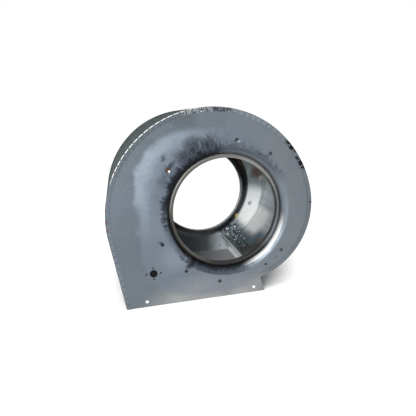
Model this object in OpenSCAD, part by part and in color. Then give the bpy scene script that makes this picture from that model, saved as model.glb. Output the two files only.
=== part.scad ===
// Sheet-steel housing for a double-inlet centrifugal blower.
// The wheel axis lies along Y, the front side plate faces -Y and the outlet faces down.
// Outlines are worked out about the wheel axis, with the front seam at y = 0. The whole
// part is then moved so that it stands on its outlet edges, with the origin mid-base.

/* [Sheet] */
// Thickness of the galvanised sheet
sheet = 1.0; // [0.7:0.1:1.5]
// Clearance between a side plate and the parts beside it
rim_gap = 0.1; // [0.1:0.1:0.5]

/* [Scroll] */
// Width over both side seams
housing_w = 314; // [240:1:400]
// Radius of the small arc of the scroll, outside the wrap
small_r = 165.5; // [160:0.5:175]
// Radius of the large arc of the scroll, outside the wrap
large_r = 221.5; // [205:0.5:240]
// Distance from the wheel axis to the small arc's centre, along the line of centres
centre_along = 25; // [18:0.5:32]
// Height of the line of centres above the wheel axis
centre_rise = 2.3; // [0:0.1:8]
// Slope of the line of centres, which is also the lean of the discharge
lean = 8.4; // [0:0.2:12]
// Direction from the small arc's centre in which the wrap starts, at the cutoff
wrap_start = -75; // [-80:1:-72]
// Height of the wheel axis above the outlet edges
axis_h = 186.2; // [178:0.2:230]

/* [Inlets] */
// Bore of each inlet throat
throat_d = 228.6; // [200:0.2:238]
// Length of the straight lip of the throat
lip_len = 10; // [6:0.5:14]
// Width of the raised bead round the throat
bead_w = 9.7; // [8:0.1:11]
// Height of the raised bead
bead_h = 2.0; // [1:0.1:3]
// Outside radius of the drawn flare between the plate and the bead
flare_r = 17; // [12:0.5:19]

/* [Lock seam] */
// Width of the band that the wrap folds over a side plate
fold_w = 9.5; // [7:0.5:11]
// Inside radius of the fold
fold_inner_r = 0.6; // [0.2:0.1:1]
// Distance from one tab of the fold to the next
tab_pitch = 13.5; // [12:0.5:20]
// Gap between two tabs
tab_gap = 3; // [2:0.1:4]

/* [Cutoff] */
// Radius from the wheel axis at which the cutoff nose begins
nose_axis_r = 146; // [144:0.5:149]
// Direction of the cutoff nose, seen from the wheel axis
nose_dir = -68.6; // [-71:0.2:-67]
// Outside radius of the cutoff nose
nose_r = 3; // [2:0.2:4]
// Direction from the small arc's centre in which the cutoff's lap on the wrap ends
lap_end = -62; // [-63:1:-58]
// Direction of the rivet row, from the small arc's centre
rivet_dir = -66; // [-67:0.5:-65]
// Distance of the end rivets from the side seams
rivet_edge = 47.8; // [25:0.2:60]
// Diameter of a rivet's shank
rivet_d = 3.2; // [2.4:0.2:4]

/* [Holes] */
// Distance from the foot of the flare to the circle of holes in the front plate
bolt_margin = 11.5; // [7:0.5:14]
// Distance from the foot of the flare to the circle of holes in the rear plate
rear_margin = 17; // [15:0.5:19]
// Direction from which the holes of the circle are counted
bolt_phase = 20.6; // [14:0.2:28]
// Diameter of the three motor-mount holes
mount_hole_d = 6; // [5.6:0.1:7]
// Diameter of the other holes on the circle
spare_hole_d = 5; // [3:0.1:5.2]
// Sideways distance from the wheel axis to the middle of the outlet screw holes
outlet_mid = -66.2; // [-78:0.2:-60]
// Distance between the outlet screw holes
outlet_pitch = 236.4; // [210:0.2:240]
// Distance of the outlet screw holes from the outlet edge
outlet_edge = 10.8; // [8:0.2:16]
// Diameter of the outlet screw holes
outlet_hole_d = 7; // [5:0.1:8]

/* [Hole plug] */
// Sideways distance from the wheel axis to the plug
plug_x = -165.9; // [-175:0.1:-155]
// Distance of the plug below the wheel axis
plug_drop = 114.2; // [105:0.1:125]
// Diameter of the plug's head
plug_head_d = 16.2; // [15:0.2:18]
// Diameter of the hole that the plug closes
plug_hole_d = 13.6; // [12:0.2:14]
// Clearance of the plug's skirt in the hole
plug_gap = 0.15; // [0.05:0.05:0.3]
// Diameter of the pilot holes
pilot_d = 2.6; // [2:0.1:3]

/* [Hidden] */
$fn = 96;
// How far a cutter runs past what it cuts
over = 1;
// Longer than the part, for half-planes and blanks that are trimmed
far = 600;

function polar(r, a) = [r * cos(a), r * sin(a)];
function heading(v) = atan2(v[1], v[0]);
// Direction from a circle's centre to where a line from a point touches it
function touch_dir(centre, r, from, side) =
    heading(from - centre) + side * acos(r / norm(from - centre));

// Scroll outline about the wheel axis, in the plane of a side plate
along = polar(1, lean);
across = polar(1, lean + 90);
radial = polar(1, wrap_start);
small_c = along * centre_along + across * centre_rise;
centre_gap = large_r - small_r;
large_c = small_c - along * centre_gap;
base_mid = (large_c[0] - large_r + small_c[0] + small_r) / 2;

// The side plates lie behind the folded tabs and end where the fold begins to curve
fold_r = sheet + fold_inner_r;
rim = fold_r + rim_gap;
plate_y = sheet;
throat_r = throat_d / 2;
bead_r = throat_r + bead_w;
flare_outer = bead_r + flare_r;
bolt_circle_r = flare_outer + bolt_margin;
rear_circle_r = flare_outer + rear_margin;

// Cutoff centre line: outlet leg, nose and lap
half = sheet / 2;
bend_depth = 3;
nose_mid_r = nose_r - half;
nose_c = polar(nose_axis_r + nose_r, nose_dir);
leg_bend = small_c + radial * (small_r - bend_depth) - polar(half, wrap_start + 90);
leg_foot = leg_bend + radial * far;
lap_r = small_r - sheet;
lap_start = (wrap_start + rivet_dir) / 2;
lap_bend = small_c + polar(lap_r - half, lap_start);
outlet_touch = touch_dir(nose_c, nose_mid_r, leg_bend, -1);
scroll_touch = touch_dir(nose_c, nose_mid_r, lap_bend, 1);

// Rivets
rivet_gap = 0.05;
rivet_pitch = (housing_w - 2 * rivet_edge) / 3;
head_r = rivet_d;
head_h = 1.2;
dome_r = (head_r * head_r + head_h * head_h) / (2 * head_h);

// Small holes beside the plug and the cutoff
pilot_side = 15;
pilot_up = 12;
cutoff_pilot_r = 149.2;
cutoff_pilot_dir = -57.1;

// Plug
plug_at = [plug_x, -plug_drop];
plug_head_t = 0.9;
plug_dish_r = 4.5;
plug_dish = 0.3;
skirt_r = plug_hole_d / 2 - plug_gap;
skirt_wall = 1.2;
skirt_len = 5;
snap_r = 0.6;

// Moves what is drawn about the wheel axis into the part's frame
module in_frame() {
    translate([-base_mid, -housing_w / 2, axis_h]) children();
}

// Stands a flat outline up in the XZ plane, filling y from one value to another
module upright(from, to) {
    translate([0, to, 0]) rotate([90, 0, 0]) linear_extrude(height = to - from) children();
}

// Turns a section of radius and depth points about an axis along Y
module turned(centre, start = 0, sweep = 360) {
    translate([centre[0], 0, centre[1]]) rotate([-90, 0, 0]) rotate([0, 0, -start - sweep])
        rotate_extrude(angle = sweep) children();
}

// Puts local X in a given direction in the XZ plane, seen from a centre
module facing(centre, direction) {
    translate([centre[0], 0, centre[1]]) rotate([0, -direction, 0]) children();
}

// Turns the frame by the lean about the large arc's centre, so that the two centres and the
// places where the arcs and the wall meet lie on its own X axis
module leaned() {
    translate([large_c[0], 0, large_c[1]]) rotate([0, -lean, 0]) children();
}

// Everything between two directions seen from a point, for sweeps under 180 degrees
module wedge(centre, from, to) {
    polygon([
        centre, centre + polar(far, from), centre + polar(far, (from + to) / 2),
        centre + polar(far, to)
    ]);
}

// The scroll's outline with its wall moved inwards
module scroll_area(inset) {
    intersection() {
        translate(large_c) rotate(lean) {
            intersection() {
                circle(r = large_r - inset);
                translate([-far, 0]) square([2 * far, far]);
            }
            translate([centre_gap, 0]) intersection() {
                circle(r = small_r - inset);
                translate([-far, -far]) square([2 * far, far]);
            }
            polygon([
                [inset - large_r, 0], [inset - large_r, -far],
                [centre_gap, 0] + polar(2 * far, wrap_start - lean), [centre_gap, 0]
            ]);
        }
        translate([-far, -axis_h]) square(2 * far);
    }
}

// Flare, raised bead and lip of an inlet, as radius and depth from the plate's outer face. The
// flat ring at the foot of the flare lies in the plate's own metal and joins the two
module inlet_section() {
    crest_r = (bead_w * bead_w / 4 + bead_h * bead_h) / (2 * bead_h);
    translate([throat_r, flare_r]) {
        translate([bead_w + flare_r, -flare_r]) square([over, sheet]);
        intersection() {
            translate([bead_w + flare_r, 0]) difference() {
                circle(r = flare_r);
                circle(r = flare_r - sheet);
            }
            translate([bead_w - over, -flare_r - over]) square([flare_r + over, flare_r + over + sheet]);
        }
        intersection() {
            translate([bead_w / 2, crest_r - bead_h]) difference() {
                circle(r = crest_r);
                circle(r = crest_r - sheet);
            }
            translate([0, -bead_h - over]) square([bead_w + sheet, bead_h + over + sheet]);
        }
        translate([0, sheet / 4]) square([sheet, lip_len - sheet / 4]);
    }
}

// Holes on a circle, at multiples of 60 degrees from its first direction
module circle_holes(circle_r, hole_d, steps) {
    for (k = steps) rotate(bolt_phase + k * 60) translate([circle_r, 0]) circle(d = hole_d);
}

module outlet_holes() {
    for (side = [-1, 1])
        translate([outlet_mid + side * outlet_pitch / 2, outlet_edge - axis_h]) circle(d = outlet_hole_d);
}

module front_holes() {
    circle_holes(bolt_circle_r, mount_hole_d, [1, 3, 5]);
    circle_holes(bolt_circle_r, spare_hole_d, [0.5, 2, 3.5, 4]);
    outlet_holes();
    translate(plug_at) {
        circle(d = plug_hole_d);
        for (side = [-1, 1]) {
            translate([side * pilot_side, 0]) circle(d = pilot_d);
            translate([0, side * pilot_up]) circle(d = pilot_d);
        }
    }
    translate(polar(cutoff_pilot_r, cutoff_pilot_dir)) circle(d = pilot_d);
}

// The rear plate carries the circle the other way round
module rear_holes() {
    mirror([1, 0]) circle_holes(rear_circle_r, spare_hole_d, [0.5, 1, 2, 3, 3.5, 4, 5]);
    outlet_holes();
}

// A side plate with its outer face at plate_y and its inlet drawn towards +Y
module side_plate() {
    upright(plate_y, plate_y + sheet) difference() {
        scroll_area(rim);
        circle(r = flare_outer);
        children();
    }
    translate([0, plate_y, 0]) turned([0, 0]) inlet_section();
}

module front_side_plate() {
    color([0.48, 0.52, 0.55]) in_frame() side_plate() front_holes();
}

module rear_side_plate() {
    color([0.46, 0.5, 0.53]) in_frame()
        translate([0, housing_w, 0]) mirror([0, 1, 0]) side_plate() rear_holes();
}

// A band from x0 to x1 across the housing, with its corners at x1 rounded
module rounded_band(x0, x1, margin, corner_r) {
    width = housing_w - 2 * margin;
    translate([x0, margin]) square([x1 - corner_r - x0, width]);
    translate([x0, margin + corner_r]) square([x1 - x0, width - 2 * corner_r]);
    for (y = [margin + corner_r, housing_w - margin - corner_r])
        translate([x1 - corner_r, y]) circle(r = corner_r);
}

// Section of the wrap: its wall with both edges folded inwards
module wrap_section(r) {
    difference() {
        rounded_band(r - fold_w, r, 0, fold_r);
        rounded_band(r - fold_w - over, r - sheet, sheet, fold_inner_r);
    }
}

// Parts two tabs in both seams, for a wall at radius r
module tab_cutter(r) {
    for (y = [-over, housing_w - sheet])
        translate([r - fold_w - over, y, -tab_gap / 2]) cube([fold_w + 2 * over, sheet + over, tab_gap]);
}

module arc_cutters(centre, r, from, to) {
    count = floor((to - from) * PI / 180 * r / tab_pitch);
    for (k = [1 : count])
        facing(centre, from + (k - 0.5) * (to - from) / count) tab_cutter(r);
}

// The wrap in the leaned frame, with the straight wall left long at the outlet
module wrap_blank(wall_len) {
    turned([centre_gap, 0], wrap_start - lean, lean - wrap_start) wrap_section(small_r);
    turned([0, 0], 0, 180) wrap_section(large_r);
    facing([0, 0], 180) linear_extrude(height = wall_len + 2 * fold_w) wrap_section(large_r);
}

module scroll_wrap() {
    wall_len = (axis_h + large_c[1]) / cos(lean) - large_r * tan(lean);
    color([0.42, 0.46, 0.46]) in_frame() difference() {
        intersection() {
            leaned() wrap_blank(wall_len);
            translate([-far, -over, -axis_h]) cube([2 * far, housing_w + 2 * over, 2 * far]);
        }
        leaned() {
            arc_cutters([centre_gap, 0], small_r, wrap_start - lean, 0);
            arc_cutters([0, 0], large_r, 0, 180);
            for (k = [1 : floor(wall_len / tab_pitch)])
                facing([0, 0], 180) translate([0, 0, (k - 0.5) * tab_pitch]) tab_cutter(large_r);
        }
        rivet_bores();
    }
}

// A straight run of sheet between two points of its centre line, with rounded ends
module strip(from, to) {
    translate(from) rotate(heading(to - from)) translate([0, -half]) square([norm(to - from), sheet]);
    translate(from) circle(r = half);
}

// A curved run of sheet
module curved_strip(centre, outer, from, to) {
    intersection() {
        translate(centre) difference() {
            circle(r = outer);
            circle(r = outer - sheet);
        }
        wedge(centre, from, to);
    }
}

module cutoff_outline() {
    outlet_side = nose_c + polar(nose_mid_r, outlet_touch);
    scroll_side = nose_c + polar(nose_mid_r, scroll_touch);
    intersection() {
        strip(leg_bend, leg_foot);
        translate([-far, -axis_h]) square([2 * far, far]);
    }
    strip(leg_bend, outlet_side);
    curved_strip(nose_c, nose_r, scroll_touch, outlet_touch);
    strip(lap_bend, scroll_side);
    curved_strip(small_c, lap_r, lap_start, lap_end);
}

module cutoff_plate() {
    inner_face = plate_y + sheet + rim_gap;
    color([0.5, 0.54, 0.57]) in_frame() difference() {
        upright(inner_face, housing_w - inner_face) cutoff_outline();
        rivet_bores();
    }
}

// Puts local Z along a rivet, pointing out of the scroll, with z = 0 at the arc's axis
module rivet_frame(k) {
    facing(small_c, rivet_dir) translate([0, housing_w / 2 + (k - 2.5) * rivet_pitch, 0])
        rotate([0, 90, 0]) children();
}

module rivet_bores() {
    for (k = [1 : 4]) rivet_frame(k) translate([0, 0, lap_r - 2 * sheet - over])
        cylinder(d = rivet_d + 2 * rivet_gap, h = 4 * sheet + 2 * over);
}

// A length of the arc's inside, used to seat the heads
module arc_core(r) {
    rotate([90, 0, 0]) cylinder(r = r, h = 4 * head_r, center = true, $fn = 360);
}

module cutoff_rivet(k) {
    inner = small_r - 2 * sheet;
    color([0.6, 0.63, 0.66]) in_frame() rivet_frame(k) {
        translate([0, 0, inner - head_h / 2]) cylinder(d = rivet_d, h = 2 * sheet + head_h);
        difference() {
            translate([0, 0, small_r + head_h - dome_r]) sphere(r = dome_r);
            arc_core(small_r);
        }
        intersection() {
            translate([0, 0, inner - head_h + dome_r]) sphere(r = dome_r);
            arc_core(inner);
        }
    }
}

module hole_plug() {
    color([0.12, 0.12, 0.13]) in_frame() translate([0, plate_y, 0]) turned(plug_at) {
        difference() {
            translate([0, -plug_head_t]) square([plug_head_d / 2 - plug_head_t / 2, plug_head_t]);
            translate([-over, -plug_head_t - over]) square([plug_dish_r + over, plug_dish + over]);
        }
        intersection() {
            translate([plug_head_d / 2 - plug_head_t / 2, -plug_head_t / 2]) circle(d = plug_head_t);
            translate([0, -plug_head_t]) square([plug_head_d, plug_head_t]);
        }
        translate([skirt_r - skirt_wall, 0]) square([skirt_wall, skirt_len]);
        translate([skirt_r, sheet + snap_r + plug_gap]) circle(r = snap_r);
    }
}

front_side_plate();
rear_side_plate();
scroll_wrap();
cutoff_plate();
hole_plug();
cutoff_rivet(1);  // cutoff_rivet_1
cutoff_rivet(2);  // cutoff_rivet_2
cutoff_rivet(3);  // cutoff_rivet_3
cutoff_rivet(4);  // cutoff_rivet_4
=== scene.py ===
import math

import bmesh
import bpy
from mathutils import Euler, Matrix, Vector


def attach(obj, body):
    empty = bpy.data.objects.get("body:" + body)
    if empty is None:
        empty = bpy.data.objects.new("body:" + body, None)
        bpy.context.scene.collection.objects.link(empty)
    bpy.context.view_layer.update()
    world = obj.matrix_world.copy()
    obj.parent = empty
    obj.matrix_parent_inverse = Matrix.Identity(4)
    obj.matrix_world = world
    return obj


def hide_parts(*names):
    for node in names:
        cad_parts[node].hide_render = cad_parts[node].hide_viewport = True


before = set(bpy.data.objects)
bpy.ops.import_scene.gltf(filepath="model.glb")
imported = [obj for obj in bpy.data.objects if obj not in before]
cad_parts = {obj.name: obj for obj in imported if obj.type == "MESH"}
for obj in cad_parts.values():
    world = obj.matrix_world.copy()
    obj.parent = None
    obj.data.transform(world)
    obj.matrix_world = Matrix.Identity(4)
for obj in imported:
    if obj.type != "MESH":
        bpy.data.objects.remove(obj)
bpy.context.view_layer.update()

# Wheel axis in the row frame. In the finishes x, z, radius and turn are taken about it, in metres and
# degrees, with turn 0 to the right and 90 at the top. The y is the row frame's own.
AXIS_X, AXIS_Z = 0.0313, 0.1862

# Places on the housing that the finishes follow. A pair is where a soft edge starts and ends.
BEAD_OUTSIDE = (0.1238, 0.1243)
FRONT_LIP = (0.1147, 0.1151)
REAR_LIP = (0.1152, 0.1156)
FRONT_HOLE_CIRCLE = 0.1525
REAR_HOLE_CIRCLE = 0.158
FIRST_HOLE_TURN, HOLE_STEP = 20.6, 60
WIRING_HOLE = (-0.1659, -0.1142)
CUTOFF_PILOT_RADIUS, CUTOFF_PILOT_TURN = 0.1492, -57.1
TAB_FACE = (0.1557, 0.1560)
# Metres along the inside of the wrap for one degree about the axis, near the cutoff
WRAP_PER_DEGREE = 0.00297

# Small dents by the cutoff nose: turn, y and half width
LAP_DENTS = (
    (-57.1, 0.1447, 0.0036), (-59.3, 0.1036, 0.0044), (-57.9, 0.0770, 0.0026), (-62.3, 0.1230, 0.0030),
    (-55.6, 0.1240, 0.0032), (-64.2, 0.0930, 0.0030), (-60.6, 0.1460, 0.0026),
)
WRAP_DENTS = (
    (-52.8, 0.150, 0.0030), (-50.8, 0.141, 0.0038), (-46.1, 0.140, 0.0026), (-52.4, 0.108, 0.0036),
    (-52.5, 0.079, 0.0032),
)
# The same on the rear plate: x, z and half width
REAR_DENTS = ((0.0775, -0.1287, 0.0050), (0.0799, -0.1443, 0.0032))
# Where the dents' points start, near the faces that they are then seated on
LAP_DENTS_RADIUS, WRAP_DENTS_RADIUS, REAR_DENTS_Y = 0.160, 0.165, 0.150
# Height of a dent over its half width
DENT_RISE = 0.22


def tone(red, upper_left_shade, blue):
    """A colour as it shows on screen, 0 to 255, in the shader's linear values."""
    return tuple(((channel / 255 + 0.055) / 1.055) ** 2.4 for channel in (red, upper_left_shade, blue))


# White for painted highlights, painted glints and painted pools of light
PAINTED_LIGHT_WHITE = tone(253, 254, 254)


def polar(radius, turn):
    """The x and z of a place given by its radius and turn."""
    return (radius * math.cos(math.radians(turn)), radius * math.sin(math.radians(turn)))


def unrolled(dents):
    """Dents given by their turn, laid out by the length along the wrap instead."""
    return [(turn * WRAP_PER_DEGREE, y, size) for turn, y, size in dents]


class Finish:
    """A procedural finish: short calls that add shader nodes and return their output sockets."""

    def __init__(self, name, metallic, roughness):
        self.mat = bpy.data.materials.new(name)
        self.mat.use_nodes = True
        self.tree = self.mat.node_tree
        self.shader = self.tree.nodes["Principled BSDF"]
        self.shader.inputs["Metallic"].default_value = metallic
        self.shader.inputs["Roughness"].default_value = roughness
        self.place = self.tree.nodes.new("ShaderNodeTexCoord").outputs["Object"]

    def put(self, socket, value):
        """Link a socket to an output, or set it to a constant."""
        if hasattr(value, "is_output"):
            self.tree.links.new(value, socket)
        elif isinstance(value, (tuple, list)) and len(value) == 3 and socket.type == "RGBA":
            socket.default_value = (*value, 1.0)
        else:
            socket.default_value = value

    def give(self, name, value):
        """Link or set one of the shader's own inputs."""
        self.put(self.shader.inputs[name], value)

    def math(self, operation, *values):
        """The result of one math operation on sockets or constants."""
        node = self.tree.nodes.new("ShaderNodeMath")
        node.operation = operation
        for socket, value in zip(node.inputs, values):
            self.put(socket, value)
        return node.outputs[0]

    def split(self, vector):
        """The x, y and z of a vector."""
        node = self.tree.nodes.new("ShaderNodeSeparateXYZ")
        self.put(node.inputs[0], vector)
        return node.outputs

    def join(self, x, y, z):
        """A vector from its x, y and z."""
        node = self.tree.nodes.new("ShaderNodeCombineXYZ")
        for socket, value in zip(node.inputs, (x, y, z)):
            self.put(socket, value)
        return node.outputs[0]

    def noise(self, vector, scale, detail, roughness, distortion=0.0):
        """Cloudy noise about 0.5, finer with a larger scale."""
        node = self.tree.nodes.new("ShaderNodeTexNoise")
        self.put(node.inputs["Vector"], vector)
        node.inputs["Scale"].default_value = scale
        node.inputs["Detail"].default_value = detail
        node.inputs["Roughness"].default_value = roughness
        node.inputs["Distortion"].default_value = distortion
        return node.outputs["Fac"]

    def spots(self, vector, scale, size, soft=0.05):
        """Round spots scattered at random, as a mask."""
        node = self.tree.nodes.new("ShaderNodeTexVoronoi")
        self.put(node.inputs["Vector"], vector)
        node.inputs["Scale"].default_value = scale
        return self.band(node.outputs["Distance"], size, size + soft, 1.0, 0.0)

    def band(self, value, low, high, to_low=0.0, to_high=1.0):
        """Smooth step from to_low at low to to_high at high. The low may be the larger of the two."""
        node = self.tree.nodes.new("ShaderNodeMapRange")
        node.interpolation_type = "SMOOTHSTEP"
        linked = hasattr(low, "is_output") or hasattr(high, "is_output")
        if not linked and low > high:
            low, high, to_low, to_high = high, low, to_high, to_low
        self.put(node.inputs["Value"], value)
        self.put(node.inputs["From Min"], low)
        self.put(node.inputs["From Max"], high)
        self.put(node.inputs["To Min"], to_low)
        self.put(node.inputs["To Max"], to_high)
        return node.outputs[0]

    def mix(self, factor, under, over):
        """The colour under at factor 0, and the colour over at factor 1."""
        node = self.tree.nodes.new("ShaderNodeMix")
        node.data_type = "RGBA"
        self.put(node.inputs[0], factor)
        self.put(node.inputs[6], under)
        self.put(node.inputs[7], over)
        return node.outputs[2]

    def times(self, first, *others):
        """The product of all the values."""
        for value in others:
            first = self.math("MULTIPLY", first, value)
        return first

    def most(self, first, *others):
        """The largest of the values."""
        for value in others:
            first = self.math("MAXIMUM", first, value)
        return first

    def without(self, mask, other):
        """A mask with another one cut out of it."""
        return self.times(mask, self.math("SUBTRACT", 1.0, other))

    def wander(self, value, noise, amount):
        """A value pushed to and fro by a noise, by up to amount either way."""
        return self.math("ADD", value, self.math("MULTIPLY_ADD", noise, 2.0 * amount, -amount))

    def between(self, value, low, high, soft):
        """Mask of the values between two others, with soft ends."""
        above = self.band(value, low - soft, low + soft)
        return self.times(above, self.band(value, high - soft, high + soft, 1.0, 0.0))

    def blot(self, across, up, centre, size, soft=0.3, tilt=0.0):
        """Soft-edged oval, given by its centre, half sizes and tilt."""
        dx = self.math("SUBTRACT", across, centre[0])
        dz = self.math("SUBTRACT", up, centre[1])
        cosine, sine = math.cos(math.radians(tilt)), math.sin(math.radians(tilt))
        long = self.math("MULTIPLY_ADD", dx, cosine / size[0], self.times(dz, sine / size[0]))
        wide = self.math("MULTIPLY_ADD", dz, cosine / size[1], self.times(dx, -sine / size[1]))
        away = self.math("SQRT", self.math("ADD", self.times(long, long), self.times(wide, wide)))
        return self.band(away, 1.0 - soft, 1.0 + soft, 1.0, 0.0)

    def bump(self, height, strength, distance):
        """Fine relief from a height, in the shading alone."""
        node = self.tree.nodes.new("ShaderNodeBump")
        node.inputs["Strength"].default_value = strength
        node.inputs["Distance"].default_value = distance
        self.put(node.inputs["Height"], height)
        self.give("Normal", node.outputs[0])


class SheetFinish(Finish):
    """A finish on the housing's sheet, with the place of each point about the wheel axis."""

    def __init__(self, name, metallic, roughness):
        super().__init__(name, metallic, roughness)
        x, self.y, z = self.split(self.place)
        self.x = self.math("SUBTRACT", x, AXIS_X)
        self.z = self.math("SUBTRACT", z, AXIS_Z)
        squares = self.math("ADD", self.times(self.x, self.x), self.times(self.z, self.z))
        self.radius = self.math("SQRT", squares)
        self.turn = self.math("DEGREES", self.math("ARCTAN2", self.z, self.x))
        normal = self.tree.nodes.new("ShaderNodeNewGeometry").outputs["Normal"]
        nx, self.ny, nz = self.split(normal)
        outwards = self.math("ADD", self.times(nx, self.x), self.times(nz, self.z))
        self.facing_out = self.math("DIVIDE", outwards, self.radius)
        self.cloudy = self.noise(self.place, 24.0, 3.0, 0.55)
        self.ragged = self.noise(self.place, 110.0, 4.0, 0.65)
        self.fine = self.noise(self.place, 460.0, 3.0, 0.6)
        self.blotches = self.noise(self.place, 62.0, 5.0, 0.7, 0.8)
        # noise that runs in streaks away from the wheel axis
        spread = self.join(self.times(self.turn, 0.42), self.times(self.radius, 26.0), self.y)
        self.streaks = self.noise(spread, 1.0, 5.0, 0.68, 0.6)

    def sector(self, middle, half, soft):
        """Mask of the directions within half a width of the middle, in degrees."""
        off = self.math("WRAP", self.math("SUBTRACT", self.turn, middle), 180.0, -180.0)
        return self.band(self.math("ABSOLUTE", off), half - soft, half + soft, 1.0, 0.0)

    def stretch(self, radius, ring, sector):
        """Mask of a stretch of ring: from, to and softness, then middle turn, half width and softness."""
        return self.times(self.between(radius, *ring), self.sector(*sector))

    def oval(self, centre, size, soft=0.3, tilt=0.0):
        """Soft-edged oval on a side plate, about the wheel axis."""
        return self.blot(self.x, self.z, centre, size, soft, tilt)

    def loose_oval(self, noise, push, centre, size, soft=0.3, tilt=0.0):
        """An oval with its edge pushed to and fro by a noise, by so much in x and in z."""
        across = self.wander(self.x, noise, push[0])
        up = self.wander(self.z, noise, push[1])
        return self.blot(across, up, centre, size, soft, tilt)


# Paint that several pieces share. Here and below, f is the finish that is being made.

def plate_grey(f):
    """The plate's dull zinc grey, a little bluer at the left, with painted shade at its upper left, and
    paler by the outlet and towards the bottom as a painted reflection of the floor.
    """
    left, right, low = tone(88, 96, 104), tone(112, 119, 125), tone(148, 149, 149)
    grey = f.mix(f.band(f.x, -0.10, 0.10), left, right)
    # painted shade at the upper left
    upper_left_shade = f.blot(f.wander(f.x, f.cloudy, 0.03), f.z, (-0.15, 0.16), (0.10, 0.06), 0.4, 40)
    grey = f.mix(f.times(upper_left_shade, 0.7), grey, tone(78, 86, 90))
    # paler towards the bottom and by the outlet: a painted reflection of the floor
    grey = f.mix(f.times(f.band(f.z, -0.05, -0.15), 0.35), grey, tone(118, 125, 130))
    outlet = f.loose_oval(f.cloudy, (0.02, 0.015), (-0.03, -0.198), (0.14, 0.062), 0.35)
    grey = f.mix(outlet, grey, low)
    grey = f.mix(f.band(f.cloudy, 0.35, 0.7, 0.0, 0.3), grey, tone(90, 98, 106))
    return f.mix(f.band(f.fine, 0.4, 0.75, 0.0, 0.2), grey, tone(138, 146, 152))


def inlet_cloud(f, grey, rim_strength):
    """Pale blue-grey bloom round the inlet, a rounded square, with a brighter rim at its upper left."""
    middle_x, half_width, half_height, squareness = -0.040, 0.150, 0.175, 3.0
    across = f.math("SUBTRACT", f.wander(f.x, f.cloudy, 0.020), middle_x)
    across = f.math("ABSOLUTE", f.math("DIVIDE", across, half_width))
    up = f.math("ABSOLUTE", f.math("DIVIDE", f.wander(f.z, f.blotches, 0.006), half_height))
    powers = f.math("ADD", f.math("POWER", across, squareness), f.math("POWER", up, squareness))
    away = f.math("POWER", powers, 1 / squareness)
    fade_right = f.band(f.x, -0.02, 0.11, 1.0, 0.25)
    fade_low = f.band(f.z, -0.1, 0.0, 0.6, 1.0)
    bloom = f.times(f.band(away, 0.97, 1.05, 1.0, 0.0), fade_right, fade_low)
    grey = f.mix(f.times(bloom, 0.85), grey, tone(106, 115, 127))
    low_left = f.loose_oval(f.cloudy, (0.02, 0.02), (-0.112, -0.088), (0.034, 0.030), 0.6)
    grey = f.mix(f.times(low_left, rim_strength, 0.6), grey, tone(122, 132, 142))
    rim = f.times(f.band(away, 0.78, 0.93), f.band(away, 0.96, 1.04, 1.0, 0.0))
    rim = f.times(rim, f.sector(146, 28, 26), rim_strength, f.band(f.blotches, 0.3, 0.6, 0.6, 1.0))
    return f.mix(rim, grey, tone(126, 138, 147))


def inside_sheet(f):
    """Bright unhandled zinc on the inner faces."""
    return f.mix(f.band(f.cloudy, 0.3, 0.7), tone(160, 168, 174), tone(186, 193, 198))


def painted_hole_shade(f, colour, centres, reach, soft, strength, edge):
    """Dark rings painted round punched holes as shade for the dark seen in them, each out to a reach from
    its centre.
    """
    for centre in centres:
        colour = f.mix(f.times(f.oval(centre, (reach, reach), soft), strength), colour, edge)
    return colour


def painted_dent_glints(f, colour, across, up, dents):
    """Small dents with painted highlights: bright points in rims of painted shade, and the mask of the
    points.
    """
    points = []
    for place, height, size in dents:
        rim = f.blot(across, up, (place, height), (size * 1.9, size * 1.7))
        colour = f.mix(f.times(rim, 0.65), colour, tone(40, 47, 53))
        points.append(f.blot(across, up, (place, height + size * 0.4), (size, size * 0.8), 0.35))
    glints = f.most(*points)
    return f.mix(glints, colour, PAINTED_LIGHT_WHITE), glints


def plate_outside(f, side):
    """Mask of a side plate's outer face: side is -1 at the front and 1 at the rear."""
    facing = f.math("MULTIPLY_ADD", f.ny, 2.0 * side, f.times(f.facing_out, -1.0))
    return f.band(facing, -0.1, 0.1)


def metal_level(f, mask, usual, masked):
    """How metallic the sheet is: the usual level, and another one under a mask."""
    return f.mix(mask, (usual,) * 3, (masked,) * 3)


def sheet_surface(f, rough_low, rough_high, metallic, smooth=None):
    """Uneven gloss and slight waves of sheet metal, glossier under the smooth mask."""
    rough = f.band(f.cloudy, 0.3, 0.7, rough_low, rough_high)
    if smooth is not None:
        rough = f.times(rough, f.band(smooth, 0.0, 1.0, 1.0, 0.45))
    f.give("Roughness", rough)
    f.give("Metallic", metallic)
    f.bump(f.math("ADD", f.times(f.fine, 0.5), f.times(f.cloudy, 1.4)), 0.12, 0.0006)


# Front side plate

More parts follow.
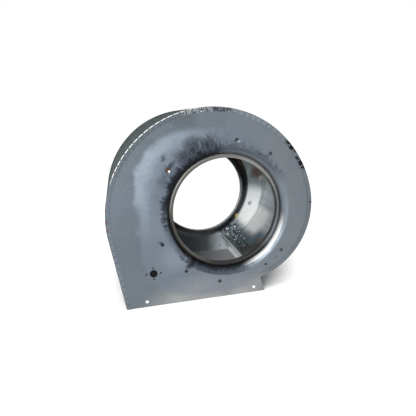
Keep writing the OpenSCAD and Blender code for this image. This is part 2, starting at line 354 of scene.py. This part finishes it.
def inlet_smudges_and_shade(f, grey):
    """Black handling marks on and round the flare, streaked away from the inlet, together with painted
    shade on the flare where it faces away from the light at the upper left and left, and a painted dark
    reflection at its foot at the bottom.
    """
    soot, smoke_and_shade = tone(28, 32, 39), tone(67, 73, 82)
    edge = f.wander(f.wander(f.radius, f.streaks, 0.020), f.blotches, 0.014)
    foot = f.wander(f.radius, f.ragged, 0.002)
    worn = f.band(f.ragged, 0.34, 0.62)
    patchy = f.band(f.blotches, 0.42, 0.60)
    streaky = f.band(f.streaks, 0.34, 0.56)
    speckled = f.band(f.fine, 0.42, 0.6)
    broken = f.band(f.ragged, 0.1, 0.5)
    marks = [
        # upper left, round to the left side: smudges and painted shade
        (f.stretch(edge, (0.120, 0.160, 0.014), (134, 40, 14)), smoke_and_shade, 0.35),
        (f.times(f.stretch(edge, (0.120, 0.170, 0.012), (122, 28, 14)), patchy), smoke_and_shade, 0.85),
        (f.times(f.stretch(edge, (0.120, 0.163, 0.009), (113, 15, 6)), streaky), soot, 0.85),
        (f.stretch(edge, (0.120, 0.143, 0.005), (66, 38, 14)), smoke_and_shade, 0.75),
        (f.stretch(edge, (0.118, 0.1425, 0.004), (136, 40, 8)), smoke_and_shade, 1.0),
        (f.times(f.stretch(edge, (0.118, 0.1385, 0.005), (132, 38, 6)), broken), soot, 1.0),
        (f.times(f.stretch(edge, (0.120, 0.151, 0.006), (80, 18, 9)), speckled, worn), smoke_and_shade, 0.9),
        # left, above the sharp-edged lower patch: smudges and painted shade
        (f.times(f.stretch(edge, (0.118, 0.140, 0.004), (181, 10, 5)), worn), soot, 0.95),
        (f.times(f.stretch(f.radius, (0.122, 0.1268, 0.0015), (200, 20, 6)), worn), soot, 0.85),
        (f.times(f.stretch(edge, (0.118, 0.136, 0.004), (223, 11, 4)), worn), soot, 1.0),
        # foot of the flare at the bottom: a painted dark reflection
        (f.stretch(foot, (0.122, 0.1385, 0.0013), (261, 27, 6)), smoke_and_shade, 0.9),
        (f.times(f.stretch(edge, (0.118, 0.1315, 0.003), (262, 32, 8)), worn), soot, 0.75),
    ]
    # single spots: centre, half sizes, tilt and strength
    for centre, size, tilt, strength in (
        ((-0.128, 0.124), (0.007, 0.005), 60, 0.6), ((-0.070, 0.154), (0.016, 0.009), 10, 0.5),
        ((-0.085, -0.105), (0.010, 0.007), 30, 0.9), ((-0.030, 0.156), (0.013, 0.0012), -52, 0.7),
        ((-0.115, 0.106), (0.012, 0.004), 45, 0.7), ((-0.147, -0.049), (0.004, 0.003), 0, 0.6),
        ((0.075, 0.118), (0.004, 0.002), 0, 0.5), ((-0.132, 0.078), (0.012, 0.012), 30, 0.25),
        ((0.104, -0.112), (0.002, 0.003), 0, 0.5),
    ):
        spot = f.loose_oval(f.ragged, (0.009, 0.006), centre, size, 0.6, tilt)
        marks.append((spot, soot, strength))
    for mask, colour, strength in marks:
        grey = f.mix(f.times(mask, strength), grey, colour)
    # a few reddish specks at the left
    specks = f.times(f.oval((-0.163, -0.014), (0.014, 0.012), 0.4), f.spots(f.place, 210.0, 0.26))
    return f.mix(f.times(specks, 0.5), grey, tone(92, 58, 58))


def flare_sheen(f):
    """Mask of a painted sheen low on the flare, at the right."""
    return f.stretch(f.radius, (0.1243, 0.131, 0.0015), (30, 62, 10))


def painted_highlight_crescent(f):
    """Mask of the painted highlight, an arc at the lower right of the flare, on its steep part."""
    return f.stretch(f.wander(f.radius, f.cloudy, 0.0008), (0.1245, 0.1296, 0.0010), (-42, 26, 12))


def bead_tone_and_shade(f):
    """The raised bead: grey at the top and dark below in painted shade, with painted highlight lines low
    down and fine dark lines round it.
    """
    lower_left = f.sector(214, 36, 10)
    lower = f.sector(283, 37, 12)
    right = f.sector(350, 30, 14)
    pale = f.mix(f.band(f.x, -0.09, 0.09), tone(102, 102, 98), tone(142, 143, 141))
    bead = f.mix(f.band(f.streaks, 0.35, 0.65, 0.0, 0.35), pale, tone(96, 96, 92))
    # painted shade: blue-grey at the right, darker at the lower left, darkest in its shadow and black at
    # the bottom
    bead = f.mix(right, bead, tone(100, 107, 113))
    bead = f.mix(lower_left, bead, tone(84, 83, 77))
    shadow = f.times(lower_left, f.between(f.radius, 0.1182, 0.127, 0.0006))
    bead = f.mix(shadow, bead, tone(20, 19, 17))
    black = f.times(lower, f.band(f.streaks, 0.3, 0.7, 1.0, 0.9))
    bead = f.mix(black, bead, tone(11, 13, 15))
    # painted highlight lines on the bead's lower part
    highlight_line_width, highlight_line_starts = 0.0007, (0.1166, 0.1206)
    highlight_lines = f.most(*(f.between(f.radius, start, start + highlight_line_width, 0.0003) for start in highlight_line_starts))
    bead = f.mix(f.times(highlight_lines, f.most(lower, lower_left), 0.6), bead, tone(112, 112, 108))
    # painted shade at the inner edge on the right
    inner = f.times(f.band(f.radius, 0.1168, 0.1160), f.sector(-20, 62, 20))
    bead = f.mix(f.times(inner, 0.8), bead, tone(20, 22, 24))
    outer_line = f.between(f.radius, 0.1234, 0.1246, 0.0003)
    middle_line = f.times(f.between(f.radius, 0.1186, 0.1196, 0.0003), 0.7)
    return f.mix(f.times(f.most(outer_line, middle_line), 0.85), bead, tone(38, 38, 38))


def inlet_rim(f, grey):
    """The drawn flare with a painted sheen, a painted highlight and painted shade, the raised bead, and the
    straight bore of the lip in painted shade.
    """
    # painted sheen and painted highlight on the flare, painted shade at its right
    grey = f.mix(f.times(flare_sheen(f), 0.35), grey, tone(116, 125, 132))
    grey = f.mix(f.times(painted_highlight_crescent(f), 0.95), grey, PAINTED_LIGHT_WHITE)
    shade = f.stretch(f.radius, (0.1305, 0.139, 0.003), (-8, 36, 20))
    grey = f.mix(f.times(shade, 0.3), grey, tone(84, 96, 108))
    grey = f.mix(f.band(f.radius, *BEAD_OUTSIDE, 1.0, 0.0), grey, bead_tone_and_shade(f))
    # the bore painted near black as shade
    bore = f.times(f.band(f.radius, *FRONT_LIP, 1.0, 0.0), f.band(f.facing_out, -0.6, -0.85, 0.0, 1.0))
    return f.mix(bore, grey, tone(18, 20, 23))


def hole_edges(f, grey):
    """Dark painted shade round the punched holes, rust at one of them and a painted highlight at another.
    """
    hole_shade = tone(26, 29, 32)
    # painted shade round the punched holes, standing in for the dark seen in them
    turns = [FIRST_HOLE_TURN + HOLE_STEP * steps for steps in (0.5, 1, 3, 3.5, 4, 5)]
    circle = [polar(FRONT_HOLE_CIRCLE, turn) for turn in turns]
    grey = painted_hole_shade(f, grey, circle, 0.0040, 0.15, 0.85, hole_shade)
    offsets = ((-0.0152, 0), (0.0152, 0), (0, -0.012), (0, 0.012))
    pilots = [(WIRING_HOLE[0] + across, WIRING_HOLE[1] + up) for across, up in offsets]
    grey = painted_hole_shade(f, grey, pilots, 0.0021, 0.15, 0.8, hole_shade)
    grey = painted_hole_shade(f, grey, [polar(CUTOFF_PILOT_RADIUS, CUTOFF_PILOT_TURN)], 0.0026, 0.2, 1.0, hole_shade)
    rusty = f.oval((-0.1200, 0.0995), (0.0060, 0.0050), 0.25, 40)
    grey = f.mix(f.times(rusty, 0.95), grey, tone(70, 52, 38))
    # a painted highlight beside one hole
    hole_highlight = f.oval((0.0285, 0.1475), (0.0042, 0.0022), 0.4)
    return f.mix(f.times(hole_highlight, 0.6), grey, tone(176, 182, 186))


def front_plate_finish():
    """Dull zinc with the inlet's bloom, smudges, painted shade, painted highlights and bead outside, and
    bright zinc inside.
    """
    f = SheetFinish("front_plate_finish", 0.85, 0.42)
    outer = inlet_cloud(f, plate_grey(f), 1.0)
    outer = inlet_smudges_and_shade(f, outer)
    outer = hole_edges(f, outer)
    outer = inlet_rim(f, outer)
    outside = plate_outside(f, -1)
    f.give("Base Color", f.mix(outside, inside_sheet(f), outer))
    bright = painted_highlight_crescent(f)
    metal = metal_level(f, f.most(flare_sheen(f), bright), 0.85, 0.2)
    sheet_surface(f, 0.38, 0.5, metal, f.times(bright, outside))
    return f.mat


# Rear side plate

def rear_plate_outer_face(f):
    """Outer face, away from the photograph's side: the same grey and bloom, with a little soot."""
    outer = inlet_cloud(f, plate_grey(f), 0.3)
    ring = f.between(f.wander(f.radius, f.streaks, 0.02), 0.122, 0.143, 0.006)
    soot = f.times(ring, f.band(f.cloudy, 0.42, 0.6), f.band(f.ragged, 0.3, 0.6))
    outer = f.mix(f.times(soot, 0.75), outer, tone(48, 52, 60))
    return f.mix(f.band(f.radius, *BEAD_OUTSIDE, 1.0, 0.0), outer, tone(128, 129, 126))


def rear_flare(f):
    """The flare round the rear throat, dark but for some primer and a grey line on its bead."""
    flare = f.mix(f.band(f.ragged, 0.4, 0.6), tone(22, 24, 26), tone(52, 54, 56))
    primer = f.times(f.oval((0.122, 0.066), (0.012, 0.022), 0.5, 20), f.band(f.ragged, 0.3, 0.5))
    flare = f.mix(primer, flare, tone(78, 58, 52))
    line = f.stretch(f.radius, (0.1175, 0.1215, 0.0008), (-4, 14, 8))
    flare = f.mix(f.times(line, 0.8), flare, tone(150, 156, 160))
    low_left = f.times(f.band(f.z, -0.09, -0.12), f.band(f.x, 0.02, -0.02, 0.5, 1.0))
    return f.mix(f.times(low_left, 0.6), flare, tone(86, 90, 94))


def rear_plate_inner_face(f):
    """Inner face as it is seen through the front throat, with a painted pool of light, painted glints and
    painted shade, and the mask of the painted light on it.
    """
    x, z = f.wander(f.x, f.cloudy, 0.010), f.wander(f.z, f.ragged, 0.004)
    inner = f.mix(f.band(f.cloudy, 0.3, 0.7), tone(140, 150, 150), tone(160, 170, 168))
    # painted pool of light where the front lamp shines through the throat
    lit = f.blot(x, z, (0.152, -0.066), (0.054, 0.058))
    inner = f.mix(lit, inner, PAINTED_LIGHT_WHITE)
    brown = f.blot(f.wander(x, f.blotches, 0.02), z, (0.174, 0.032), (0.014, 0.018), 0.6)
    inner = f.mix(f.times(brown, 0.8), inner, tone(108, 76, 72))
    pale = f.oval((0.184, 0.016), (0.006, 0.006), 0.4)
    inner = f.mix(f.times(pale, 0.8), inner, tone(196, 190, 176))
    mottled = f.mix(f.band(f.ragged, 0.4, 0.6), tone(72, 84, 92), tone(160, 172, 176))
    inner = f.mix(f.blot(x, z, (0.080, -0.130), (0.040, 0.030)), inner, mottled)
    inner, glints = painted_dent_glints(f, inner, f.x, f.z, REAR_DENTS)
    # lower panel: painted shade at the left, painted light towards the right
    panel_light_and_shade = f.mix(f.band(f.x, 0.008, 0.07), tone(76, 82, 86), tone(190, 197, 200))
    low = f.times(f.band(f.z, -0.128, -0.142), f.band(f.x, 0.085, 0.075))
    inner = f.mix(low, inner, panel_light_and_shade)
    # painted shade at the lower left
    inner = f.mix(f.blot(x, z, (-0.076, -0.152), (0.070, 0.072), 0.4), inner, tone(54, 58, 62))
    # the dark flare is wider at the top
    flare_foot = f.band(f.z, -0.10, 0.05, 0.1360, 0.1445)
    inner = f.mix(f.band(f.radius, flare_foot, 0.1465, 1.0, 0.0), inner, rear_flare(f))
    yellow = f.oval((0.107, -0.089), (0.0050, 0.0065))
    inner = f.mix(yellow, inner, tone(214, 184, 124))
    # the lip painted white as lit at the lower right
    lip = f.mix(f.sector(-44, 34, 12), tone(90, 94, 98), PAINTED_LIGHT_WHITE)
    inner = f.mix(f.band(f.radius, *REAR_LIP, 1.0, 0.0), inner, lip)
    # painted shade round the rear holes
    turns = [180 - FIRST_HOLE_TURN - HOLE_STEP * steps for steps in (0.5, 1, 2, 3, 3.5, 5)]
    circle = [polar(REAR_HOLE_CIRCLE, turn) for turn in turns]
    inner = painted_hole_shade(f, inner, circle, 0.0052, 0.12, 1.0, tone(20, 22, 24))
    return inner, f.most(lit, glints)


def rear_plate_finish():
    """The front plate's grey outside, and the face that shows through the throat inside."""
    f = SheetFinish("rear_plate_finish", 0.8, 0.42)
    outer = rear_plate_outer_face(f)
    inner, shining = rear_plate_inner_face(f)
    outside = plate_outside(f, 1)
    f.give("Base Color", f.mix(outside, inner, outer))
    sheet_surface(f, 0.36, 0.5, metal_level(f, f.without(shining, outside), 0.8, 0.0))
    return f.mat


# Scroll wrap

def wrap_outer_face(f):
    """Outer face of the strip, dull and a little streaked."""
    outer = f.mix(f.band(f.cloudy, 0.3, 0.7), tone(92, 100, 100), tone(106, 114, 114))
    outer = f.mix(f.band(f.streaks, 0.4, 0.7, 0.0, 0.35), outer, tone(126, 133, 134))
    return f.mix(f.band(f.fine, 0.45, 0.75, 0.0, 0.3), outer, tone(136, 143, 144))


def wrap_inner_face(f):
    """Inner face, with a painted pool of light below and to the right of the throat, painted shade towards
    the front, and the mask of what shines on it.
    """
    along = f.times(f.turn, WRAP_PER_DEGREE)
    turn = f.wander(f.turn, f.cloudy, 3.0)
    inner = f.mix(f.band(f.streaks, 0.3, 0.7), tone(168, 176, 182), tone(204, 210, 214))
    # painted pool of light
    lit = f.times(f.band(turn, -52.0, -40.0), f.band(turn, -24.0, -18.0, 1.0, 0.0), f.band(f.y, 0.02, 0.08))
    inner = f.mix(lit, inner, PAINTED_LIGHT_WHITE)
    # painted shade, darker towards the front edge
    low_front_shade = f.times(f.band(turn, -40.0, -50.0), f.band(f.y, -0.06, -0.04))
    inner = f.mix(f.times(low_front_shade, 0.9), inner, tone(98, 112, 122))
    middle = f.times(f.band(f.y, 0.075, 0.035), f.band(turn, -33.0, -41.0))
    inner = f.mix(middle, inner, tone(104, 122, 134))
    dark = f.times(f.band(f.y, 0.05, 0.0), f.band(turn, -40.0, -48.0))
    inner = f.mix(dark, inner, tone(58, 62, 64))
    stain = f.blot(along, f.y, (-45.5 * WRAP_PER_DEGREE, 0.015), (0.008, 0.016), 0.5)
    inner = f.mix(f.times(stain, 0.7), inner, tone(112, 98, 76))
    inner, glints = painted_dent_glints(f, inner, along, f.y, unrolled(WRAP_DENTS))
    rear_line = f.between(f.wander(f.y, f.cloudy, 0.002), 0.1368, 0.1392, 0.0005)
    inner = f.mix(f.times(rear_line, f.sector(-25, 60, 10), 0.9), inner, tone(24, 26, 28))
    return inner, f.most(lit, glints)


def folded_tabs(f, colour, upright, side, front):
    """Tabs in the plates' grey with painted highlights on their bends at the upper left and dark bends at
    the right, and the mask of the highlighted bends.
    """
    folded = f.band(f.math("ABSOLUTE", f.y), *TAB_FACE)
    colour = f.mix(f.most(folded, f.band(upright, 0.75, 0.9)), colour, plate_grey(f))
    bend = f.times(f.band(upright, 0.08, 0.2), f.band(upright, 0.93, 0.99, 1.0, 0.0), side, front)
    # painted highlight along the bends
    bright = f.times(bend, f.sector(132, 28, 4), f.band(f.ragged, 0.2, 0.4))
    colour = f.mix(bright, colour, PAINTED_LIGHT_WHITE)
    dark = f.times(bend, f.sector(12, 62, 12))
    return f.mix(f.times(dark, 0.85), colour, tone(44, 46, 52)), bright


def seam_marks(f, colour, upright, front):
    """Paint, soot and reddish specks on the front seam."""
    face = f.times(front, f.band(upright, 0.3, 0.6))
    dark = f.times(face, f.sector(98, 13, 4), f.band(f.ragged, 0.47, 0.54))
    colour = f.mix(f.times(dark, 0.85), colour, tone(38, 40, 46))
    pale = f.times(face, f.sector(104, 8, 3), f.band(f.fine, 0.52, 0.6))
    colour = f.mix(f.times(pale, 0.8), colour, tone(196, 200, 202))
    x, z = f.wander(f.x, f.fine, 0.009), f.wander(f.z, f.ragged, 0.009)
    for centre, size, tilt in (
        ((0.146, 0.126), (0.012, 0.005), -40), ((0.135, 0.138), (0.008, 0.003), -40),
        ((0.166, 0.090), (0.014, 0.005), -58), ((0.157, 0.104), (0.007, 0.003), -50),
        ((0.187, 0.008), (0.003, 0.005), 0),
    ):
        soot = f.blot(x, z, centre, size, 0.4, tilt)
        colour = f.mix(f.times(soot, front), colour, tone(22, 24, 28))
    left_edge, specks_z, speck = -0.2515, (0.030, 0.005, -0.012, -0.058), (0.004, 0.004)
    for height in specks_z:
        red = f.loose_oval(f.fine, (0.004, 0.006), (left_edge, height), speck, 0.4)
        colour = f.mix(f.times(red, front, 0.7), colour, tone(88, 38, 40))
    return colour


def wrap_finish():
    """Rolled strip: dull outside, bright inside, with its tabs folded over the side plates."""
    f = SheetFinish("wrap_finish", 0.8, 0.4)
    front = f.band(f.y, -0.1510, -0.1535)
    upright = f.math("ABSOLUTE", f.ny)
    side = f.band(f.facing_out, -0.2, 0.2)
    inner, shining = wrap_inner_face(f)
    colour = f.mix(side, inner, wrap_outer_face(f))
    colour, bright = folded_tabs(f, colour, upright, side, front)
    f.give("Base Color", seam_marks(f, colour, upright, front))
    # rolling marks run along the strip
    f.give("Tangent", f.join(f.times(f.z, -1.0), 0.0, f.x))
    f.shader.inputs["Anisotropic"].default_value = 0.6
    # the outer face is matt where it is seen edge-on
    graze = f.tree.nodes.new("ShaderNodeLayerWeight").outputs["Facing"]
    dull = f.times(side, f.band(upright, 0.7, 0.5), f.band(graze, 0.55, 0.85))
    f.shader.inputs["Specular IOR Level"].default_value = 0.0
    plain = f.most(bright, dull, f.without(shining, side))
    sheet_surface(f, 0.42, 0.52, metal_level(f, plain, 0.8, 0.0))
    return f.mat


# Cutoff plate, rivets, dents and plug

def cutoff_finish():
    """Bright sheet, with a mottled lap that darkens towards the front and a painted highlight along the
    nose.
    """
    f = SheetFinish("cutoff_finish", 0.85, 0.35)
    sheet = f.mix(f.band(f.cloudy, 0.3, 0.7), tone(160, 168, 172), tone(196, 202, 206))
    mottled = f.mix(f.band(f.ragged, 0.42, 0.6), tone(64, 76, 84), tone(140, 152, 158))
    mottled = f.mix(f.band(f.y, 0.06, 0.03), mottled, tone(44, 48, 50))
    sheet = f.mix(f.band(f.turn, -67.0, -65.5), sheet, mottled)
    sheet, glints = painted_dent_glints(f, sheet, f.times(f.turn, WRAP_PER_DEGREE), f.y, unrolled(LAP_DENTS))
    # painted highlight along the nose's edge
    nose = f.stretch(f.radius, (0.136, 0.1500, 0.001), (-68.6, 1.9, 0.5))
    f.give("Base Color", f.mix(nose, sheet, tone(250, 252, 252)))
    sheet_surface(f, 0.26, 0.4, metal_level(f, f.most(nose, glints), 0.85, 0.0))
    return f.mat


def worn_metal(name, metallic, roughness, grain, dark, pale, relief):
    """Small bright metal, a little uneven in tone and surface."""
    f = Finish(name, metallic, roughness)
    worn = f.noise(f.place, grain, 3.0, 0.6)
    f.give("Base Color", f.mix(f.band(worn, 0.35, 0.65), dark, pale))
    f.bump(worn, relief, 0.0002)
    return f.mat


def rivet_finish():
    """Bright zinc plate on the rivets."""
    return worn_metal("rivet_finish", 0.95, 0.28, 300.0, tone(170, 174, 176), tone(214, 218, 220), 0.15)


def dent_finish():
    """Bare bright metal on the dents."""
    return worn_metal("dent_finish", 0.9, 0.2, 500.0, tone(205, 210, 213), tone(250, 251, 251), 0.2)


def plug_finish():
    """Matt black moulding with a fine grain."""
    f = Finish("plug_finish", 0.0, 0.85)
    grain = f.noise(f.place, 900.0, 2.0, 0.5)
    f.give("Base Color", f.mix(grain, tone(10, 11, 12), tone(24, 26, 27)))
    f.shader.inputs["Specular IOR Level"].default_value = 0.1
    f.bump(grain, 0.2, 0.0003)
    return f.mat


# Pieces

def finished(node, material):
    """A welded, smooth-shaded copy of a CAD node that takes its place."""
    weld_distance, sharp_from = 2e-6, math.radians(35.0)
    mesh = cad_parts[node].data.copy()
    mesh.name = node + "_finished"
    welded = bmesh.new()
    welded.from_mesh(mesh)
    bmesh.ops.remove_doubles(welded, verts=welded.verts, dist=weld_distance)
    for face in welded.faces:
        face.smooth = True
    for edge in welded.edges:
        edge.smooth = len(edge.link_faces) == 2 and edge.calc_face_angle(0.0) < sharp_from
    welded.to_mesh(mesh)
    welded.free()
    piece = bpy.data.objects.new(node + "_finished", mesh)
    bpy.context.scene.collection.objects.link(piece)
    mesh.materials.clear()
    mesh.materials.append(material)
    weights = piece.modifiers.new("flat_faces_lead", "WEIGHTED_NORMAL")
    weights.keep_sharp = True
    weights.weight = 100
    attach(piece, "root")
    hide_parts(node)
    return piece


def dent_tree():
    """Geometry Nodes: a low dome on each point, seated on the nearest face of a sheet piece."""
    tree = bpy.data.node_groups.new("seated_dents", "GeometryNodeTree")
    sockets = tree.interface
    sockets.new_socket("Points", in_out="INPUT", socket_type="NodeSocketGeometry")
    sockets.new_socket("Sheet", in_out="INPUT", socket_type="NodeSocketObject")
    rise = sockets.new_socket("Rise", in_out="INPUT", socket_type="NodeSocketFloat")
    rise.default_value = DENT_RISE
    sockets.new_socket("Metal", in_out="INPUT", socket_type="NodeSocketMaterial")
    sockets.new_socket("Dents", in_out="OUTPUT", socket_type="NodeSocketGeometry")
    given = tree.nodes.new("NodeGroupInput")
    result = tree.nodes.new("NodeGroupOutput")

    def node(kind, **inputs):
        """A node with its inputs linked or set by their names."""
        made = tree.nodes.new(kind)
        for name, value in inputs.items():
            if hasattr(value, "is_output"):
                tree.links.new(value, made.inputs[name])
            else:
                made.inputs[name].default_value = value
        return made

    def on_sheet(value):
        """A field's value at the nearest place on the sheet."""
        sample = tree.nodes.new("GeometryNodeSampleNearestSurface")
        sample.data_type = "FLOAT_VECTOR"
        tree.links.new(sheet, sample.inputs["Mesh"])
        tree.links.new(value, sample.inputs["Value"])
        return sample.outputs["Value"]

    sheet = node("GeometryNodeObjectInfo", Object=given.outputs["Sheet"]).outputs["Geometry"]
    place = on_sheet(node("GeometryNodeInputPosition").outputs[0])
    normal = on_sheet(node("GeometryNodeInputNormal").outputs[0])
    stay = node("GeometryNodeCaptureAttribute", Geometry=given.outputs["Points"])
    stay.capture_items.new("VECTOR", "up")
    tree.links.new(normal, stay.inputs["up"])
    seated = node("GeometryNodeSetPosition", Geometry=stay.outputs["Geometry"], Position=place)
    ball = node("GeometryNodeMeshUVSphere", Segments=20, Rings=10, Radius=1.0).outputs["Mesh"]
    smooth = node("GeometryNodeSetShadeSmooth", Geometry=ball).outputs[0]
    flat = node("ShaderNodeCombineXYZ", X=1.0, Y=1.0, Z=given.outputs["Rise"]).outputs[0]
    dome = node("GeometryNodeTransform", Geometry=smooth, Scale=flat).outputs[0]
    turned = node("FunctionNodeAlignRotationToVector", Vector=stay.outputs["up"])
    turned.axis = "Z"
    half_width = node("GeometryNodeInputNamedAttribute", Name="half_width")
    half_width.data_type = "FLOAT"
    spread = node("GeometryNodeInstanceOnPoints", Points=seated.outputs[0], Instance=dome,
                  Rotation=turned.outputs[0], Scale=half_width.outputs["Attribute"])
    real = node("GeometryNodeRealizeInstances", Geometry=spread.outputs[0])
    clad = node("GeometryNodeSetMaterial", Geometry=real.outputs[0], Material=given.outputs["Metal"])
    tree.links.new(clad.outputs[0], result.inputs["Dents"])
    return tree


def dents_on(sheet, name, places, tree, metal):
    """One piece of dents on a sheet, from points near its face with their half widths."""
    mesh = bpy.data.meshes.new(name + "_points")
    mesh.from_pydata([place for place, size in places], [], [])
    sizes = mesh.attributes.new("half_width", "FLOAT", "POINT")
    for number, (place, size) in enumerate(places):
        sizes.data[number].value = size
    maker = bpy.data.objects.new(name + "_points", mesh)
    bpy.context.scene.collection.objects.link(maker)
    modifier = maker.modifiers.new("dents", "NODES")
    modifier.node_group = tree
    inputs = {item.name: item.identifier for item in tree.interface.items_tree if item.in_out == "INPUT"}
    modifier[inputs["Sheet"]] = sheet
    modifier[inputs["Rise"]] = DENT_RISE
    modifier[inputs["Metal"]] = metal
    bpy.context.view_layer.update()
    shape = bpy.data.meshes.new_from_object(maker.evaluated_get(bpy.context.evaluated_depsgraph_get()))
    bpy.data.objects.remove(maker)
    shape.name = name
    piece = bpy.data.objects.new(name, shape)
    bpy.context.scene.collection.objects.link(piece)
    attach(piece, "root")
    return piece


def in_row_frame(x, y, z):
    """A place given about the wheel axis, in the row frame."""
    return (AXIS_X + x, y, AXIS_Z + z)


def about_axis(radius, dents):
    """The dents' places at one radius from the wheel axis, in the row frame, with their half widths."""
    places = []
    for turn, y, size in dents:
        x, z = polar(radius, turn)
        places.append((in_row_frame(x, y, z), size))
    return places


# Stage, light and camera

def seen_directly(tree):
    """1 for what the camera, a reflection or a clear material sees, and 0 for soft light."""
    path = tree.nodes.new("ShaderNodeLightPath")
    seen = path.outputs["Is Camera Ray"]
    for ray in ("Is Glossy Ray", "Is Transmission Ray"):
        either = tree.nodes.new("ShaderNodeMath")
        either.operation = "MAXIMUM"
        tree.links.new(seen, either.inputs[0])
        tree.links.new(path.outputs[ray], either.inputs[1])
        seen = either.outputs[0]
    return seen


def floor_paper():
    """Pale paper: white in the open, and dark where the housing shades it."""
    paper = Finish("floor_paper", 0.0, 0.9)
    tree = paper.tree
    shade = tree.nodes.new("ShaderNodeAmbientOcclusion")
    shade.inputs["Distance"].default_value = 0.5
    shade.samples = 16
    openness = shade.outputs["AO"]
    x, y = paper.split(paper.place)[:2]
    pale = paper.band(openness, 0.2, 0.5)
    paper.give("Base Color", paper.mix(pale, (0.5, 0.51, 0.53), (0.8, 0.8, 0.8)))
    # painted shadow on the floor behind the housing
    painted_shadow_behind = paper.blot(x, y, (0.06, 0.2), (0.17, 0.085))
    open_sky = paper.times(paper.band(openness, 0.25, 0.7), paper.band(painted_shadow_behind, 0.0, 1.0, 0.8, 0.0))
    # painted light under the front edge, seen through the two outlet screw holes
    across = paper.times(paper.band(x, 0.105, 0.1), paper.band(x, -0.18, -0.175))
    painted_light_strip = paper.times(paper.band(y, -0.108, -0.112), paper.band(y, -0.154, -0.150), across)
    seen_by_camera = tree.nodes.new("ShaderNodeLightPath").outputs["Is Camera Ray"]
    level = paper.mix(seen_by_camera, (0.62, 0.62, 0.62), paper.most(open_sky, painted_light_strip))
    paper.give("Emission Color", (1.0, 1.0, 1.0))
    paper.give("Emission Strength", paper.times(seen_directly(tree), level))
    return paper.mat


def stage_floor():
    """A wide flat floor just under the housing."""
    half, drop = 9.0, 0.0005
    corners = [(-half, -half, -drop), (half, -half, -drop), (half, half, -drop), (-half, half, -drop)]
    mesh = bpy.data.meshes.new("floor")
    mesh.from_pydata(corners, [], [(0, 1, 2, 3)])
    mesh.materials.append(floor_paper())
    floor = bpy.data.objects.new("floor", mesh)
    bpy.context.scene.collection.objects.link(floor)


def lamp(name, place, aim, size, power):
    """A soft rectangular lamp that faces a point."""
    light = bpy.data.lights.new(name, "AREA")
    light.shape = "RECTANGLE"
    light.size, light.size_y = size
    light.energy = power
    stand = bpy.data.objects.new(name, light)
    stand.location = place
    stand.rotation_euler = (Vector(aim) - Vector(place)).to_track_quat("-Z", "Y").to_euler()
    bpy.context.scene.collection.objects.link(stand)


def white_world():
    """A world that shows white but gives weaker soft light."""
    soft_light, shown = 0.3, 1.0
    world = bpy.data.worlds.new("studio")
    bpy.context.scene.world = world
    world.use_nodes = True
    tree = world.node_tree
    level = tree.nodes.new("ShaderNodeMapRange")
    tree.links.new(seen_directly(tree), level.inputs["Value"])
    level.inputs["To Min"].default_value = soft_light
    level.inputs["To Max"].default_value = shown
    back = tree.nodes["Background"]
    back.inputs["Color"].default_value = (1, 1, 1, 1)
    tree.links.new(level.outputs[0], back.inputs["Strength"])


def photograph_camera():
    """The photograph's own view, solved together with the housing."""
    camera = bpy.data.cameras.new("camera")
    camera.lens = 35.43
    camera.sensor_width = 36.0
    camera.sensor_fit = "HORIZONTAL"
    seat = bpy.data.objects.new("camera", camera)
    seat.location = (-0.18123, -0.96815, 0.39097)
    seat.rotation_euler = Euler([math.radians(a) for a in (77.076, 2.973, -12.497)])
    bpy.context.scene.collection.objects.link(seat)
    bpy.context.scene.camera = seat


finished("front_side_plate", front_plate_finish())
rear = finished("rear_side_plate", rear_plate_finish())
wrap = finished("scroll_wrap", wrap_finish())
lap = finished("cutoff_plate", cutoff_finish())
rivet_metal = rivet_finish()
for number in (1, 2, 3, 4):
    finished(f"cutoff_rivet_{number}", rivet_metal)
finished("hole_plug", plug_finish())

dents, dent_metal = dent_tree(), dent_finish()
lap_places = about_axis(LAP_DENTS_RADIUS, LAP_DENTS)
wrap_places = about_axis(WRAP_DENTS_RADIUS, WRAP_DENTS)
rear_places = [(in_row_frame(x, REAR_DENTS_Y, z), size) for x, z, size in REAR_DENTS]
dents_on(lap, "lap_dents", lap_places, dents, dent_metal)
dents_on(wrap, "wrap_dents", wrap_places, dents, dent_metal)
dents_on(rear, "rear_plate_dents", rear_places, dents, dent_metal)

stage_floor()
white_world()
housing_middle = (0.03, 0.0, 0.18)
lamp("left_window", (-1.02, -0.83, 1.17), housing_middle, (0.4, 0.5), 3)
lamp("front_softbox", (-0.69, -1.65, 0.78), housing_middle, (0.7, 0.7), 26)
photograph_camera()
bpy.context.scene.view_settings.view_transform = "Standard"
